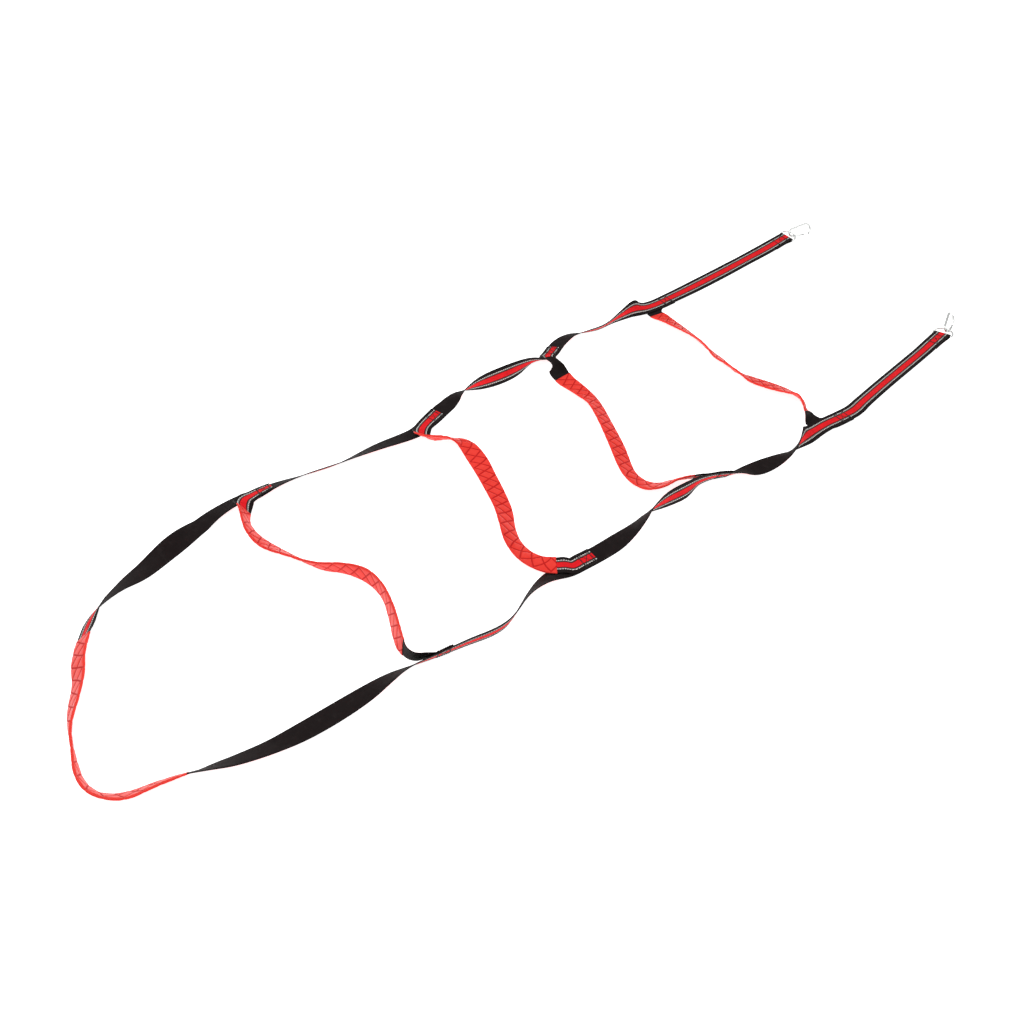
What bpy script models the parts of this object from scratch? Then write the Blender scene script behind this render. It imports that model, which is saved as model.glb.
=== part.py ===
"""Escape ladder of webbing, laid out on a floor: two rails and a bottom loop of one strap, four sleeved
rungs sewn to it, and a D-ring with a snap hook at each top end. Metres, +Z up. +X points to the hooks."""

import math

import bmesh
import bpy
from mathutils import Matrix, Vector

# Webbing and sleeves.
WEB_WIDTH = 0.038
WEB_THICK = 0.002
GAP = 0.0004
LAYER = WEB_THICK + GAP
SLEEVE_WALL = 0.0010
SLEEVE_HALF_WIDTH = 0.0205
SLEEVE_HALF_THICK = 0.0025
SLEEVE_BEVEL = 0.0008
STATION = 0.015
CURVE_PARTS = 12
CROSSING = 5
OVER_GAP = 0.0020
FLOOR_GAP = 0.0003
LOOP_OVERLAP = 0.055
LOOP_FACETS = 7
LOOP_CLOSES = 0.035

# D-rings.
RING_WIRE = 0.002
RING_HALF_WIDTH = 0.022
RING_DEPTH = 0.020
RING_SQUARE = 0.8
BAR_TO_WEB = RING_WIRE + GAP + WEB_THICK / 2

# Snap hooks: a pear outline of 6 mm wire, 70 mm long over all.
HOOK_WIRE = 0.003
HOOK_SMALL = 0.0095
HOOK_BIG = 0.0135
HOOK_SPAN = 0.0410
HOOK_ROLL = 50.0
HOOK_LIFT = 0.0118
HOOK_TILT = 3.2
RING_IN_HOOK = 0.0020
TONGUE = 0.0026
TONGUE_MIDDLE = 0.0022
TONGUE_LENGTH = 0.0084
TONGUE_DEPTH = 0.0046
FORK = 0.0032
FORK_DEPTH = 0.0102
HINGE_AT = 0.004
HINGE_HOLE = 0.0013
PIN_RADIUS = 0.0010
PIN_LENGTH = 0.0070
PIN_HEAD = 0.0016
PIN_HEAD_DEPTH = 0.0006
GATE_RADIUS = 0.0029
GATE_START = 0.0010
GATE_END = 0.0330
BORE_RADIUS = 0.0018
BORE_START = 0.0080
BORE_DEPTH = 0.020
PLUNGER_RADIUS = 0.0014
PLUNGER_START = 0.0105
PLUNGER_LENGTH = 0.004
SPRING_RADIUS = 0.00125
SPRING_WIRE = 0.00022
SPRING_TURNS = 7
SPRING_LENGTH = 0.0122
SHARP_ANGLE = 35.0

# The strap's way over the floor: x, y, roll in degrees (0 has the striped face up), lift off the floor.
MAIN_ROUTE = [
    (0.970, 0.279, 4, 0.0072), (0.950, 0.279, 5, 0.0058), (0.915, 0.277, 9, 0.0030), (0.870, 0.276, 11, 0),
    (0.800, 0.274, 8, 0), (0.710, 0.270, 10, 0), (0.620, 0.268, 10, 0), (0.560, 0.267, 6, 0.0020),
    (0.520, 0.267, 4, 0.0032), (0.470, 0.268, 4, 0.0034), (0.435, 0.272, 14, 0.0034), (0.400, 0.276, 70, 0),
    (0.345, 0.273, 110, 0), (0.297, 0.270, 128, 0), (0.257, 0.281, 138, 0), (0.222, 0.297, 156, 0),
    (0.185, 0.293, 166, 0), (0.140, 0.272, 166, 0), (0.110, 0.265, 150, 0), (0.088, 0.266, 125, 0),
    (0.040, 0.265, 84, 0), (-0.005, 0.268, 72, 0), (-0.047, 0.273, 90, 0), (-0.087, 0.280, 130, 0),
    (-0.112, 0.283, 162, 0), (-0.150, 0.273, 182, 0), (-0.205, 0.254, 178, 0), (-0.250, 0.241, 170, 0),
    (-0.330, 0.248, 158, 0), (-0.420, 0.249, 136, 0), (-0.490, 0.263, 137, 0), (-0.545, 0.276, 152, 0),
    (-0.590, 0.281, 166, 0), (-0.635, 0.286, 162, 0), (-0.700, 0.276, 180, 0), (-0.770, 0.245, 228, 0),
    (-0.830, 0.219, 262, 0), (-0.880, 0.209, 292, 0), (-0.920, 0.194, 306, 0), (-0.947, 0.172, 322, 0),
    (-0.968, 0.143, 318, 0), (-0.988, 0.108, 316, 0), (-1.002, 0.069, 312, 0), (-1.026, 0.025, 308, 0),
    (-1.045, -0.020, 288, 0), (-1.055, -0.065, 278, 0), (-1.060, -0.100, 266, 0), (-1.054, -0.132, 250, 0),
    (-1.037, -0.154, 236, 0), (-1.014, -0.168, 227, 0), (-0.981, -0.176, 230, 0), (-0.950, -0.185, 235, 0),
    (-0.925, -0.193, 236, 0), (-0.898, -0.201, 224, 0), (-0.868, -0.210, 213, 0), (-0.820, -0.220, 202, 0),
    (-0.770, -0.224, 188, 0), (-0.715, -0.226, 184, 0), (-0.660, -0.228, 193, 0), (-0.615, -0.230, 214, 0),
    (-0.580, -0.235, 234, 0), (-0.535, -0.245, 244, 0), (-0.480, -0.256, 250, 0), (-0.435, -0.266, 252, 0),
    (-0.405, -0.266, 252, 0), (-0.380, -0.258, 250, 0), (-0.352, -0.246, 246, 0), (-0.322, -0.236, 231, 0),
    (-0.285, -0.229, 208, 0), (-0.235, -0.230, 181, 0), (-0.175, -0.235, 181, 0), (-0.130, -0.236, 183, 0),
    (-0.095, -0.236, 204, 0), (-0.063, -0.232, 226, 0), (-0.035, -0.226, 242, 0), (0.010, -0.227, 275, 0),
    (0.055, -0.231, 282, 0), (0.100, -0.231, 252, 0), (0.135, -0.241, 240, 0), (0.160, -0.254, 233, 0),
    (0.195, -0.260, 196, 0), (0.235, -0.267, 180, 0), (0.275, -0.277, 200, 0), (0.305, -0.282, 236, 0),
    (0.348, -0.274, 290, 0), (0.392, -0.266, 352, 0.0032), (0.430, -0.266, 361, 0.0034),
    (0.470, -0.271, 362, 0.0034), (0.515, -0.275, 364, 0.0032), (0.560, -0.269, 370, 0.0005),
    (0.640, -0.260, 372, 0), (0.740, -0.250, 371, 0), (0.810, -0.243, 371, 0), (0.850, -0.239, 369, 0.0035),
    (0.882, -0.236, 369, 0.0060), (0.900, -0.234, 369, 0.0072),
]

# Where the strap is cut under a rung's tab or in the bottom sleeve, and the names of the lengths between.
CUTS = [
    (0.495, 0.272), (0.165, 0.284), (-0.180, 0.264), (-0.565, 0.276), (-1.000, 0.092), (-0.957, -0.182),
    (-0.505, -0.251), (-0.205, -0.235), (0.140, -0.245), (0.490, -0.272),
]
LENGTHS = [
    "left_rail_top_web", "left_rail_upper_web", "left_rail_middle_web", "left_rail_lower_web",
    "left_rail_bottom_web", "bottom_step_web", "right_rail_bottom_web", "right_rail_lower_web",
    "right_rail_middle_web", "right_rail_upper_web", "right_rail_top_web",
]
BOTTOM_SLEEVE = ((-0.968, 0.139), (-0.925, -0.192))

# Rungs from the top down: where each leaves the left rail, its way over the floor, where it meets the
# right rail, how many stations of it are bare at each end of its sleeve, and the stations in each sewn tab.
RUNGS = [
    {
        "name": "step_1", "leave": (0.470, 0.268), "meet": (0.445, -0.267), "bare": (3, 4), "tabs": (3, 3),
        "over": False,
        "way": [
            (0.455, 0.258, 180, -0.0014), (0.449, 0.246, 180, -0.0012), (0.446, 0.232, 183, 0.0002),
            (0.445, 0.218, 190, 0), (0.443, 0.195, 199, 0),
            (0.441, 0.160, 207, 0), (0.437, 0.112, 219, 0), (0.428, 0.068, 231, 0), (0.421, 0.018, 214, 0),
            (0.413, -0.032, 228, 0), (0.423, -0.072, 203, 0), (0.437, -0.108, 199, 0), (0.448, -0.142, 202, 0),
            (0.451, -0.173, 211, 0), (0.440, -0.197, 228, 0), (0.430, -0.211, 228, 0), (0.426, -0.224, 206, 0),
            (0.425, -0.236, 181, -0.0013), (0.427, -0.248, 180, -0.0014), (0.434, -0.259, 180, -0.0014),
        ],
    },
    {
        "name": "step_2", "leave": (0.140, 0.272), "meet": (0.115, -0.235), "bare": (6, 2),
        "tabs": (2, 3), "over": True, "turned": True,
        "way": [
            (0.122, 0.258, 0, 0.0060), (0.113, 0.240, 40, 0.0040), (0.111, 0.222, 110, 0), (0.112, 0.200, 168, 0),
            (0.110, 0.155, 186, 0), (0.106, 0.110, 197, 0), (0.097, 0.071, 210, 0), (0.076, 0.019, 213, 0),
            (0.046, -0.048, 208, 0), (0.013, -0.111, 211, 0), (0.006, -0.145, 205, 0), (0.013, -0.171, 203, 0),
            (0.031, -0.188, 215, 0), (0.060, -0.197, 228, 0), (0.088, -0.210, 232, 0),
        ],
    },
    {
        "name": "step_3", "leave": (-0.205, 0.253), "meet": (-0.235, -0.230), "bare": (4, 2),
        "tabs": (2, 3), "over": True,
        "way": [
            (-0.230, 0.238, 0, 0.0022), (-0.245, 0.215, 40, 0), (-0.235, 0.192, 54, 0),
            (-0.210, 0.174, 46, 0), (-0.190, 0.145, 21, 0), (-0.194, 0.100, 6, 0), (-0.209, 0.051, 16, 0),
            (-0.224, 0.004, 21, 0), (-0.242, -0.045, 29, 0), (-0.266, -0.089, 41, 0), (-0.281, -0.124, 34, 0),
            (-0.284, -0.158, 23, 0), (-0.276, -0.188, 14, 0.0020), (-0.260, -0.210, 4, 0.0055),
        ],
    },
    {
        "name": "step_4", "leave": (-0.590, 0.281), "meet": (-0.535, -0.245), "bare": (4, 4),
        "tabs": (2, 2), "over": True,
        "way": [
            (-0.616, 0.268, 10, 0.0060), (-0.627, 0.243, 66, 0), (-0.636, 0.218, 74, 0),
            (-0.641, 0.180, 56, 0), (-0.634, 0.139, 42, 0), (-0.613, 0.088, 53, 0), (-0.588, 0.038, 66, 0),
            (-0.556, 0.004, 76, 0), (-0.534, -0.035, 90, 0), (-0.531, -0.080, 94, 0),
            (-0.544, -0.128, 103, 0), (-0.559, -0.166, 107, 0), (-0.568, -0.196, 101, 0),
            (-0.565, -0.225, 78, 0),
        ],
    },
]

# The heading of each hook from its ring, in degrees.
HOOKS = {"left": -17.0, "right": 21.0}

# Moves the whole ladder so that its box is centred over the origin, with its base at zero.
CENTRING = (0.0087, -0.0101, 0.0001)

# Each finish: colour, roughness, metallic.
FINISHES = {
    "webbing": ((0.012, 0.010, 0.011, 1), 0.80, 0.0),
    "sleeve": ((0.830, 0.045, 0.035, 1), 0.45, 0.0),
    "steel": ((0.640, 0.640, 0.620, 1), 0.25, 1.0),
    "spring_steel": ((0.400, 0.400, 0.390, 1), 0.30, 1.0),
}


def clear_scene():
    for obj in list(bpy.data.objects):
        bpy.data.objects.remove(obj, do_unlink=True)


def collection(name):
    made = bpy.data.collections.new(name)
    bpy.context.scene.collection.children.link(made)
    return made


def finish(name):
    colour, roughness, metallic = FINISHES[name]
    made = bpy.data.materials.get(name) or bpy.data.materials.new(name)
    made.use_nodes = True
    shader = made.node_tree.nodes["Principled BSDF"]
    shader.inputs["Base Color"].default_value = colour
    shader.inputs["Roughness"].default_value = roughness
    shader.inputs["Metallic"].default_value = metallic
    return made


def add_object(name, data, look, home=None):
    obj = bpy.data.objects.new(name, data)
    (home or ladder).objects.link(obj)
    data.materials.append(finish(look))
    return obj


def as_mesh(obj):
    """Turns a curve, or a mesh with modifiers, into a plain welded mesh object of the same name."""
    bpy.context.view_layer.update()
    graph = bpy.context.evaluated_depsgraph_get()
    mesh = bpy.data.meshes.new_from_object(obj.evaluated_get(graph))
    bm = bmesh.new()
    bm.from_mesh(mesh)
    bmesh.ops.remove_doubles(bm, verts=bm.verts, dist=1e-6)
    bm.to_mesh(mesh)
    bm.free()
    name, place, home = obj.name, obj.matrix_world.copy(), obj.users_collection[0]
    bpy.data.objects.remove(obj, do_unlink=True)
    made = bpy.data.objects.new(name, mesh)
    home.objects.link(made)
    made.matrix_world = place
    return made


def catmull(before, a, b, after, t):
    """The point a fraction t of the way from a to b on a Catmull-Rom curve."""
    return 0.5 * (
        2 * a + (b - before) * t + (2 * before - 5 * a + 4 * b - after) * t * t
        + (3 * a - before - 3 * b + after) * t ** 3
    )


def smooth(points, step):
    """The points (x, y, roll, lift) of a smooth curve through those given, about a step apart."""
    ends = [2 * points[0] - points[1]] + points + [2 * points[-1] - points[-2]]
    fine = []
    for k in range(1, len(ends) - 2):
        fine += [catmull(*ends[k - 1:k + 3], part / CURVE_PARTS) for part in range(CURVE_PARTS)]
    fine.append(points[-1])
    along = [0.0]
    for a, b in zip(fine, fine[1:]):
        along.append(along[-1] + (b.xy - a.xy).length)
    count = max(1, round(along[-1] / step))
    even, k = [], 0
    for n in range(count + 1):
        want = along[-1] * n / count
        while k < len(fine) - 2 and along[k + 1] < want:
            k += 1
        share = (want - along[k]) / (along[k + 1] - along[k])
        even.append(fine[k].lerp(fine[k + 1], min(1.0, share)))
    return even


def plan(spots):
    """Listed points as vectors, with the roll in radians."""
    return [Vector((x, y, math.radians(roll), lift)) for x, y, roll, lift in spots]


def on_floor(point, half_width, half_thick):
    """A point (x, y, z, roll) of a strap whose lower edge is the point's lift above the floor."""
    x, y, roll, lift = point
    height = half_width * abs(math.sin(roll)) + half_thick * abs(math.cos(roll)) + lift + FLOOR_GAP
    return Vector((x, y, max(height, WEB_THICK / 2), roll))


def frames(points):
    """One frame for each point (x, y, z, roll): place, direction, side and outward normal."""
    made = []
    for k, point in enumerate(points):
        ahead = points[min(k + 1, len(points) - 1)].xyz - points[max(k - 1, 0)].xyz
        ahead.normalize()
        level = Vector((0, 0, 1)).cross(ahead).normalized()
        up = ahead.cross(level)
        turn = point.w
        normal = up * math.cos(turn) + level * math.sin(turn)
        side = level * math.cos(turn) - up * math.sin(turn)
        made.append({"at": point.xyz, "ahead": ahead, "side": side, "normal": normal, "roll": turn})
    return made


def nearest(stations, place):
    return min(range(len(stations)), key=lambda k: (stations[k]["at"].xy - Vector(place)).length)


def strap(name, stations, face_turned=False, trim=(0.0, 0.0)):
    """Webbing along the stations: a flat grid laid on them and given its thickness by Solidify."""
    bm = bmesh.new()
    rows = []
    for k, station in enumerate(stations):
        shift = trim[0] if k == 0 else -trim[1] if k == len(stations) - 1 else 0.0
        centre = station["at"] + station["ahead"] * shift
        reach = station["side"] * (WEB_WIDTH / 2)
        rows.append([bm.verts.new(centre - reach), bm.verts.new(centre + reach)])
    for a, b in zip(rows, rows[1:]):
        bm.faces.new((a[0], b[0], b[1], a[1]))
    split = "ALTERNATE" if face_turned else "FIXED"
    bmesh.ops.triangulate(bm, faces=bm.faces, quad_method=split)
    mesh = bpy.data.meshes.new(name)
    bm.to_mesh(mesh)
    bm.free()
    obj = add_object(name, mesh, "webbing")
    thick = obj.modifiers.new("thickness", "SOLIDIFY")
    thick.thickness = WEB_THICK
    thick.offset = 0
    return obj


def sleeve(name, stations, face_turned):
    """A flat tube round the strap: a rolled grid on the stations, with its wall from Solidify."""
    out = SLEEVE_HALF_WIDTH - SLEEVE_WALL / 2
    up = SLEEVE_HALF_THICK - SLEEVE_WALL / 2
    bevel = SLEEVE_BEVEL
    outline = [
        (-out + bevel, up), (out - bevel, up), (out, up - bevel), (out, bevel - up),
        (out - bevel, -up), (bevel - out, -up), (-out, bevel - up), (-out, up - bevel),
    ]
    bm = bmesh.new()
    rings = [
        [bm.verts.new(s["at"] + s["side"] * across + s["normal"] * rise) for across, rise in outline]
        for s in stations
    ]
    upper, lower = [], []
    for a, b in zip(rings, rings[1:]):
        for k in range(len(outline)):
            after = (k + 1) % len(outline)
            face = bm.faces.new((a[k], b[k], b[after], a[after]))
            (upper if k < len(outline) // 2 else lower).append(face)
    splits = ("ALTERNATE", "FIXED") if face_turned else ("FIXED", "ALTERNATE")
    bmesh.ops.triangulate(bm, faces=upper, quad_method=splits[0])
    bmesh.ops.triangulate(bm, faces=lower, quad_method=splits[1])
    bmesh.ops.recalc_face_normals(bm, faces=bm.faces)
    mesh = bpy.data.meshes.new(name)
    bm.to_mesh(mesh)
    bm.free()
    obj = add_object(name, mesh, "sleeve")
    wall = obj.modifiers.new("wall", "SOLIDIFY")
    wall.thickness = SLEEVE_WALL
    wall.offset = 0
    return obj


def loop_stations(end, outward):
    """Stations of the webbing's end, which turns down round the ring's bar and back under itself."""
    out = end["ahead"] * outward
    down = -end["normal"]
    bar = end["at"] + down * BAR_TO_WEB
    made = []
    for n in range(1, LOOP_FACETS + 1):
        turn = math.pi * n / LOOP_FACETS
        spoke = out * math.sin(turn) - down * math.cos(turn)
        ahead = out * math.cos(turn) + down * math.sin(turn)
        made.append({"at": bar + spoke * BAR_TO_WEB, "ahead": ahead, "side": end["side"], "normal": spoke})
    return bar, made


def under_layer(stations, first_drop):
    """Stations of the folded-back layer: those of the layer above, closing up to one layer under it."""
    made = []
    for k, above in enumerate(stations):
        drop = LAYER + (first_drop - LAYER) * max(0.0, 1 - (k + 1) * STATION / LOOP_CLOSES)
        made.append({
            "at": above["at"] - above["normal"] * drop, "ahead": -above["ahead"],
            "side": above["side"], "normal": -above["normal"],
        })
    return made


def main_strap():
    """The rails and the bottom loop. Returns the stations and the centre of each ring's bar."""
    line = smooth(plan(MAIN_ROUTE), STATION)
    a, b = (min(range(len(line)), key=lambda k: (line[k].xy - Vector(end)).length) for end in BOTTOM_SLEEVE)
    points = []
    for k, point in enumerate(line):
        sleeved = a <= k < b
        half = SLEEVE_HALF_WIDTH if sleeved else WEB_WIDTH / 2
        points.append(on_floor(point, half, SLEEVE_HALF_THICK if sleeved else WEB_THICK / 2))
    stations = frames(points)
    cuts = [nearest(stations, place) for place in CUTS]
    bounds = [0] + cuts + [len(stations) - 1]
    back = round(LOOP_OVERLAP / STATION)
    bars = {}
    bars["left"], turn = loop_stations(stations[0], -1)
    left_loop = turn + under_layer(stations[1:back + 1], 2 * BAR_TO_WEB)
    bars["right"], turn = loop_stations(stations[-1], 1)
    right_loop = turn + under_layer(stations[-2:-back - 2:-1], 2 * BAR_TO_WEB)
    for name, first, last in zip(LENGTHS, bounds, bounds[1:]):
        run = stations[first:last + 1]
        trim = (GAP / 2 if first else 0.0, GAP / 2 if last < len(stations) - 1 else 0.0)
        if not first:
            run = [as_run(s) for s in reversed(left_loop)] + run
        if last == len(stations) - 1:
            run = run + right_loop
        strap(name, run, trim=trim)
    sleeve("bottom_step_sleeve", stations[a:b], False)
    return stations, bars


def as_run(station):
    """A station of the left loop, turned to run the same way as the strap after it."""
    return {**station, "ahead": -station["ahead"]}


def tab(stations, turned):
    """Stations of a rung's end, which lies along the rail's back face."""
    made = []
    for rail in stations:
        way = 1 if turned else -1
        made.append({
            "at": rail["at"] - rail["normal"] * LAYER, "ahead": rail["ahead"],
            "side": rail["side"] * way, "normal": rail["normal"] * way,
            "roll": rail["roll"] + (0 if turned else math.pi),
        })
    return made


def join_point(station, towards):
    """A tab's last station as a plan point, its roll within half a turn of the next one's."""
    turns = round((towards.z - station["roll"]) / (2 * math.pi))
    return Vector((station["at"].x, station["at"].y, station["roll"] + turns * 2 * math.pi, towards.w))


def clear_of(rail, station):
    """Raises a rung's station so that it passes over the rail's upper face."""
    steep = 0.35
    for share in (-1, -0.5, 0, 0.5, 1):
        spot = station["at"] + station["side"] * (share * WEB_WIDTH / 2)
        near = rail[nearest(rail, spot.xy)]
        side = near["side"].xy
        if side.length < steep:
            continue
        across = (spot - near["at"]).xy.dot(side) / side.length_squared
        if abs(across) > WEB_WIDTH / 2 + WEB_THICK:
            continue
        top = near["at"].z + across * near["side"].z + WEB_THICK / 2 / max(steep, abs(near["normal"].z))
        under = spot.z - WEB_THICK / 2 / max(steep, abs(station["normal"].z))
        station["at"] = station["at"] + Vector((0, 0, max(0.0, top + OVER_GAP - under)))


def rung(rail, spec):
    leave, meet = nearest(rail, spec["leave"]), nearest(rail, spec["meet"])
    left_tab, right_tab = spec["tabs"]
    start = tab(rail[leave - left_tab:leave + 1], False)
    end = tab(rail[meet:meet + right_tab + 1], spec.get("turned", False))
    way = plan(spec["way"])
    first, last = join_point(start[-1], way[0]), join_point(end[0], way[-1])
    free = smooth([first, *way, last], STATION)
    inner = [on_floor(p, SLEEVE_HALF_WIDTH, SLEEVE_HALF_THICK) for p in free[1:-1]]
    ends = [Vector((*start[-1]["at"], first.z)), Vector((*end[0]["at"], last.z))]
    middle = frames([ends[0], *inner, ends[1]])[1:-1]
    if spec["over"]:
        for station in middle[:CROSSING] + middle[-CROSSING:]:
            clear_of(rail, station)
    stations = start + middle + end
    strap(spec["name"] + "_web", stations, face_turned=True)
    a = left_tab + spec["bare"][0]
    b = len(stations) - right_tab - spec["bare"][1]
    sleeve(spec["name"] + "_sleeve", stations[a:b], True)


def wire(name, points, radius, look, cyclic=False, sides=3, home=None):
    """A round wire along the points, as a bevelled curve with filled caps."""
    curve = bpy.data.curves.new(name, "CURVE")
    curve.dimensions = "3D"
    curve.bevel_depth = radius
    curve.bevel_resolution = sides
    curve.use_fill_caps = True
    line = curve.splines.new("POLY")
    line.points.add(len(points) - 1)
    line.use_cyclic_u = cyclic
    for spot, point in zip(line.points, points):
        spot.co = (*point, 1)
    return add_object(name, curve, look, home)


def arc(centre, radius, start, end, count):
    """Points of an arc in the XY plane, the angles in degrees."""
    made = []
    for k in range(count + 1):
        turn = math.radians(start + (end - start) * k / count)
        made.append(Vector((centre + radius * math.cos(turn), radius * math.sin(turn), 0)))
    return made


def ring(side, bar, across, bow):
    """A D-ring whose straight bar lies in the webbing's loop, with its bow reaching the given point."""
    points = [bar - across * RING_HALF_WIDTH]
    for k in range(1, 18):
        turn = math.radians(-90 + 10 * k)
        reach = (bow - bar) * math.cos(turn) ** RING_SQUARE
        points.append(bar + reach + across * RING_HALF_WIDTH * math.sin(turn))
    points.append(bar + across * RING_HALF_WIDTH)
    return as_round(wire(side + "_d_ring", points, RING_WIRE, "steel", cyclic=True))


def hook_outline():
    """The pear's tangent angle, and the points of its wire from the hinge round to the nose."""
    lean = math.degrees(math.asin((HOOK_BIG - HOOK_SMALL) / HOOK_SPAN))
    small = arc(0, HOOK_SMALL, -90 - lean, -270 + lean, 12)
    big = arc(HOOK_SPAN, HOOK_BIG, 90 + lean, -90 - lean + 14, 16)
    return lean, small + big


def edge_point(lean, along, radius=HOOK_SMALL):
    """A point on the gate side's straight line, the given distance from where the small arc ends."""
    tilt = math.radians(lean)
    start = Vector((-radius * math.sin(tilt), -radius * math.cos(tilt), 0))
    return start + Vector((math.cos(tilt), -math.sin(tilt), 0)) * along


def box_mesh(name, size, place):
    bm = bmesh.new()
    bmesh.ops.create_cube(bm, size=1.0)
    bmesh.ops.scale(bm, vec=size, verts=bm.verts)
    bmesh.ops.transform(bm, matrix=place, verts=bm.verts)
    mesh = bpy.data.meshes.new(name)
    bm.to_mesh(mesh)
    bm.free()
    return mesh


def round_mesh(name, radius, length, place, segments=16):
    bm = bmesh.new()
    bmesh.ops.create_cone(
        bm, cap_ends=True, segments=segments, radius1=radius, radius2=radius, depth=length
    )
    bmesh.ops.transform(bm, matrix=place, verts=bm.verts)
    mesh = bpy.data.meshes.new(name)
    bm.to_mesh(mesh)
    bm.free()
    return mesh


def cut(obj, mesh, operation="DIFFERENCE"):
    """Cuts the mesh from the object, or joins it on, and applies the result."""
    tool = bpy.data.objects.new(mesh.name, mesh)
    cutters.objects.link(tool)
    tool.hide_render = True
    tool.display_type = "WIRE"
    step = obj.modifiers.new(operation.lower(), "BOOLEAN")
    step.operation = operation
    step.solver = "EXACT"
    step.object = tool
    made = as_mesh(obj)
    bpy.data.objects.remove(tool, do_unlink=True)
    return made


def as_round(obj):
    """Shades an applied mesh smooth, but for its sharp edges."""
    made = as_mesh(obj)
    made.data.shade_smooth()
    made.data.set_sharp_from_angle(angle=math.radians(SHARP_ANGLE))
    return made


def snap_hook(name, place):
    """A snap hook of bent wire with a sprung gate, drawn flat and then put in its place."""
    lean, outline = hook_outline()
    along_gate = Matrix.Rotation(math.radians(-lean), 4, "Z")
    lying = along_gate @ Matrix.Rotation(math.radians(90), 4, "Y")
    hinge = edge_point(lean, HINGE_AT)
    upright = Matrix.Translation(hinge)
    hole = round_mesh("hinge_hole", HINGE_HOLE, 4 * HOOK_WIRE, upright)

    def lay(radius, start, end, label, segments=12):
        middle = Matrix.Translation(edge_point(lean, (start + end) / 2))
        return round_mesh(label, radius, end - start, middle @ lying, segments)

    body = as_mesh(wire(name + "_hook_body", outline, HOOK_WIRE, "steel", sides=4))
    tongue = Matrix.Translation(edge_point(lean, TONGUE_MIDDLE)) @ along_gate
    body = cut(body, box_mesh("tongue", (TONGUE_LENGTH, TONGUE_DEPTH, TONGUE), tongue), "UNION")
    body = cut(body, hole.copy())

    gate = add_object(name + "_gate", lay(GATE_RADIUS, GATE_START, GATE_END, "gate", 16), "steel")
    slot = Matrix.Translation(edge_point(lean, GATE_START + FORK_DEPTH / 2 - GAP)) @ along_gate
    gate = cut(gate, box_mesh("fork", (FORK_DEPTH, 4 * GATE_RADIUS, FORK), slot))
    gate = cut(gate, lay(BORE_RADIUS, BORE_START, BORE_START + BORE_DEPTH, "bore"))
    gate = cut(gate, hole)

    pin = add_object(name + "_hinge_pin", round_mesh("pin", PIN_RADIUS, PIN_LENGTH, upright, 12), "spring_steel")
    for end in (-1, 1):
        head = Matrix.Translation(hinge + Vector((0, 0, end * PIN_LENGTH / 2)))
        pin = cut(pin, round_mesh("head", PIN_HEAD, PIN_HEAD_DEPTH, head, 12), "UNION")

    plunger = lay(PLUNGER_RADIUS, PLUNGER_START, PLUNGER_START + PLUNGER_LENGTH, name + "_plunger")
    plunger = add_object(name + "_plunger", plunger, "spring_steel")
    spring_start = edge_point(lean, PLUNGER_START + PLUNGER_LENGTH + SPRING_WIRE + GAP)
    coil = []
    for k in range(SPRING_TURNS * 8 + 1):
        turn = math.pi * k / 4
        drift = SPRING_LENGTH * k / (SPRING_TURNS * 8)
        spot = Vector((drift, SPRING_RADIUS * math.cos(turn), SPRING_RADIUS * math.sin(turn)))
        coil.append(spring_start + along_gate @ spot)
    spring = as_mesh(wire(name + "_gate_spring", coil, SPRING_WIRE, "spring_steel", sides=1))
    for obj in (body, gate, pin, plunger, spring):
        obj.data.transform(place)
        as_round(obj)


def add_hardware(side, stations, bars):
    """The D-ring and the snap hook at one top end."""
    end = stations[0] if side == "left" else stations[-1]
    out = -end["ahead"] if side == "left" else end["ahead"]
    bar = bars[side]
    rise = math.asin((HOOK_LIFT - bar.z) / RING_DEPTH / end["normal"].z)
    bow = bar + (out * math.cos(rise) + end["normal"] * math.sin(rise)) * RING_DEPTH
    ring(side, bar, end["side"], bow)
    turn = (
        Matrix.Rotation(math.radians(HOOKS[side]), 4, "Z")
        @ Matrix.Rotation(math.radians(-HOOK_TILT), 4, "Y")
        @ Matrix.Rotation(math.radians(HOOK_ROLL), 4, "X")
    )
    snap_hook(side, Matrix.Translation(bow + turn @ Vector((RING_IN_HOOK, 0, 0))) @ turn)


clear_scene()
ladder = collection("escape_ladder")
cutters = collection("cutters")
rail_stations, ring_bars = main_strap()
for rung_spec in RUNGS:
    rung(rail_stations, rung_spec)
for hook_side in HOOKS:
    add_hardware(hook_side, rail_stations, ring_bars)
for piece in ladder.objects:
    piece.data.transform(Matrix.Translation(CENTRING))
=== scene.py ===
import math

import bmesh
import bpy
from mathutils import Matrix, Vector


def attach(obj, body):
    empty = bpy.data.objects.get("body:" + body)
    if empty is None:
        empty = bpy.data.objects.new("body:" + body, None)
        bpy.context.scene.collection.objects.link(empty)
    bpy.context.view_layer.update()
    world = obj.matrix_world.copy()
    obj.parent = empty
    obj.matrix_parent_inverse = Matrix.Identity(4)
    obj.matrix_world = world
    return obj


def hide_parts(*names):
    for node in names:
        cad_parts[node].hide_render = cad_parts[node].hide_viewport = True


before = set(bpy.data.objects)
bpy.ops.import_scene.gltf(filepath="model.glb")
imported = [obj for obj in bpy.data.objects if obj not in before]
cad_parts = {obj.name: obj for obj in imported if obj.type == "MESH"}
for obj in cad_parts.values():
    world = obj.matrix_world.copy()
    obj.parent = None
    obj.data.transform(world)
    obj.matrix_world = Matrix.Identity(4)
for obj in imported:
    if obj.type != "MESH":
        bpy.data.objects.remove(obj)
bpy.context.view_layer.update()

centring = Vector((0.0087, -0.0101, 0.0001))  # moves the laid-out ladder over the origin

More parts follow.
